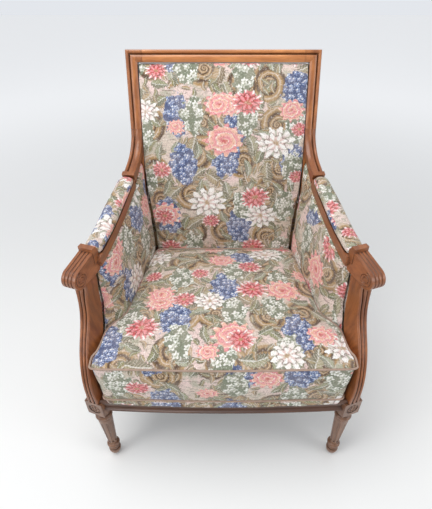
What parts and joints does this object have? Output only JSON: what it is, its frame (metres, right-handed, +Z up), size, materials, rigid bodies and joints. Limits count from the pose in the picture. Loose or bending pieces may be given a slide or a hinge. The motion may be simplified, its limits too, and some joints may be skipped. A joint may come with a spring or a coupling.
{
  "type": "bergere armchair",
  "caption": "Bergere armchair with carved walnut frame, fluted front legs, scrolled arms, closed upholstered sides and back, and a loose floral seat cushion.",
  "frame": {"origin": "middle of the chair's footprint, on the floor", "axes": "+Z up, +Y towards the back of the chair, +X to the right of somebody who faces it"},
  "size_m": [0.724, 0.6846, 0.9659],
  "materials": {
    "walnut": "walnut stained red brown, rubbed satin",
    "beech": "planed, unfinished",
    "tapestry": "woven floral tapestry",
    "webbing": "woven jute",
    "black_cloth": "thin plain weave",
    "screw_steel": "zinc plated",
    "glide_steel": "nickel plated nail glide"
  },
  "bodies": {
    "chair": {"front_leg_right": "walnut", "front_leg_left": "walnut", "rear_post_right": "walnut", "rear_post_left": "walnut", "crest_rail": "walnut", "arm_right": "walnut", "arm_left": "walnut", "arm_support_right": "walnut", "arm_support_left": "walnut", "front_rail": "walnut", "back_lower_rail": "beech", "side_rail_right": "beech", "side_rail_left": "beech", "rear_rail": "beech", "tacking_rail_right": "beech", "tacking_rail_left": "beech", "front_corner_brace_right": "beech", "front_corner_brace_left": "beech", "rear_corner_brace_right": "beech", "rear_corner_brace_left": "beech", "frame_dowels": "beech", "seat_deck": "tapestry", "back_pad": "tapestry", "outside_back": "tapestry", "inner_side_right": "tapestry", "inner_side_left": "tapestry", "outer_side_right": "tapestry", "outer_side_left": "tapestry", "arm_pad_right": "tapestry", "arm_pad_left": "tapestry", "corner_screws": "screw_steel", "foot_glides": "glide_steel", "seat_webbing": "webbing", "back_webbing": "webbing", "dust_cover": "black_cloth"},
    "cushion": {"seat_cushion": "tapestry"}
  },
  "joints": [
    {"name": "cushion_lift", "type": "slide", "parent": "chair", "child": "cushion", "axis": [0, 0, 1], "range_m": [0, 0.42]}
  ]
}
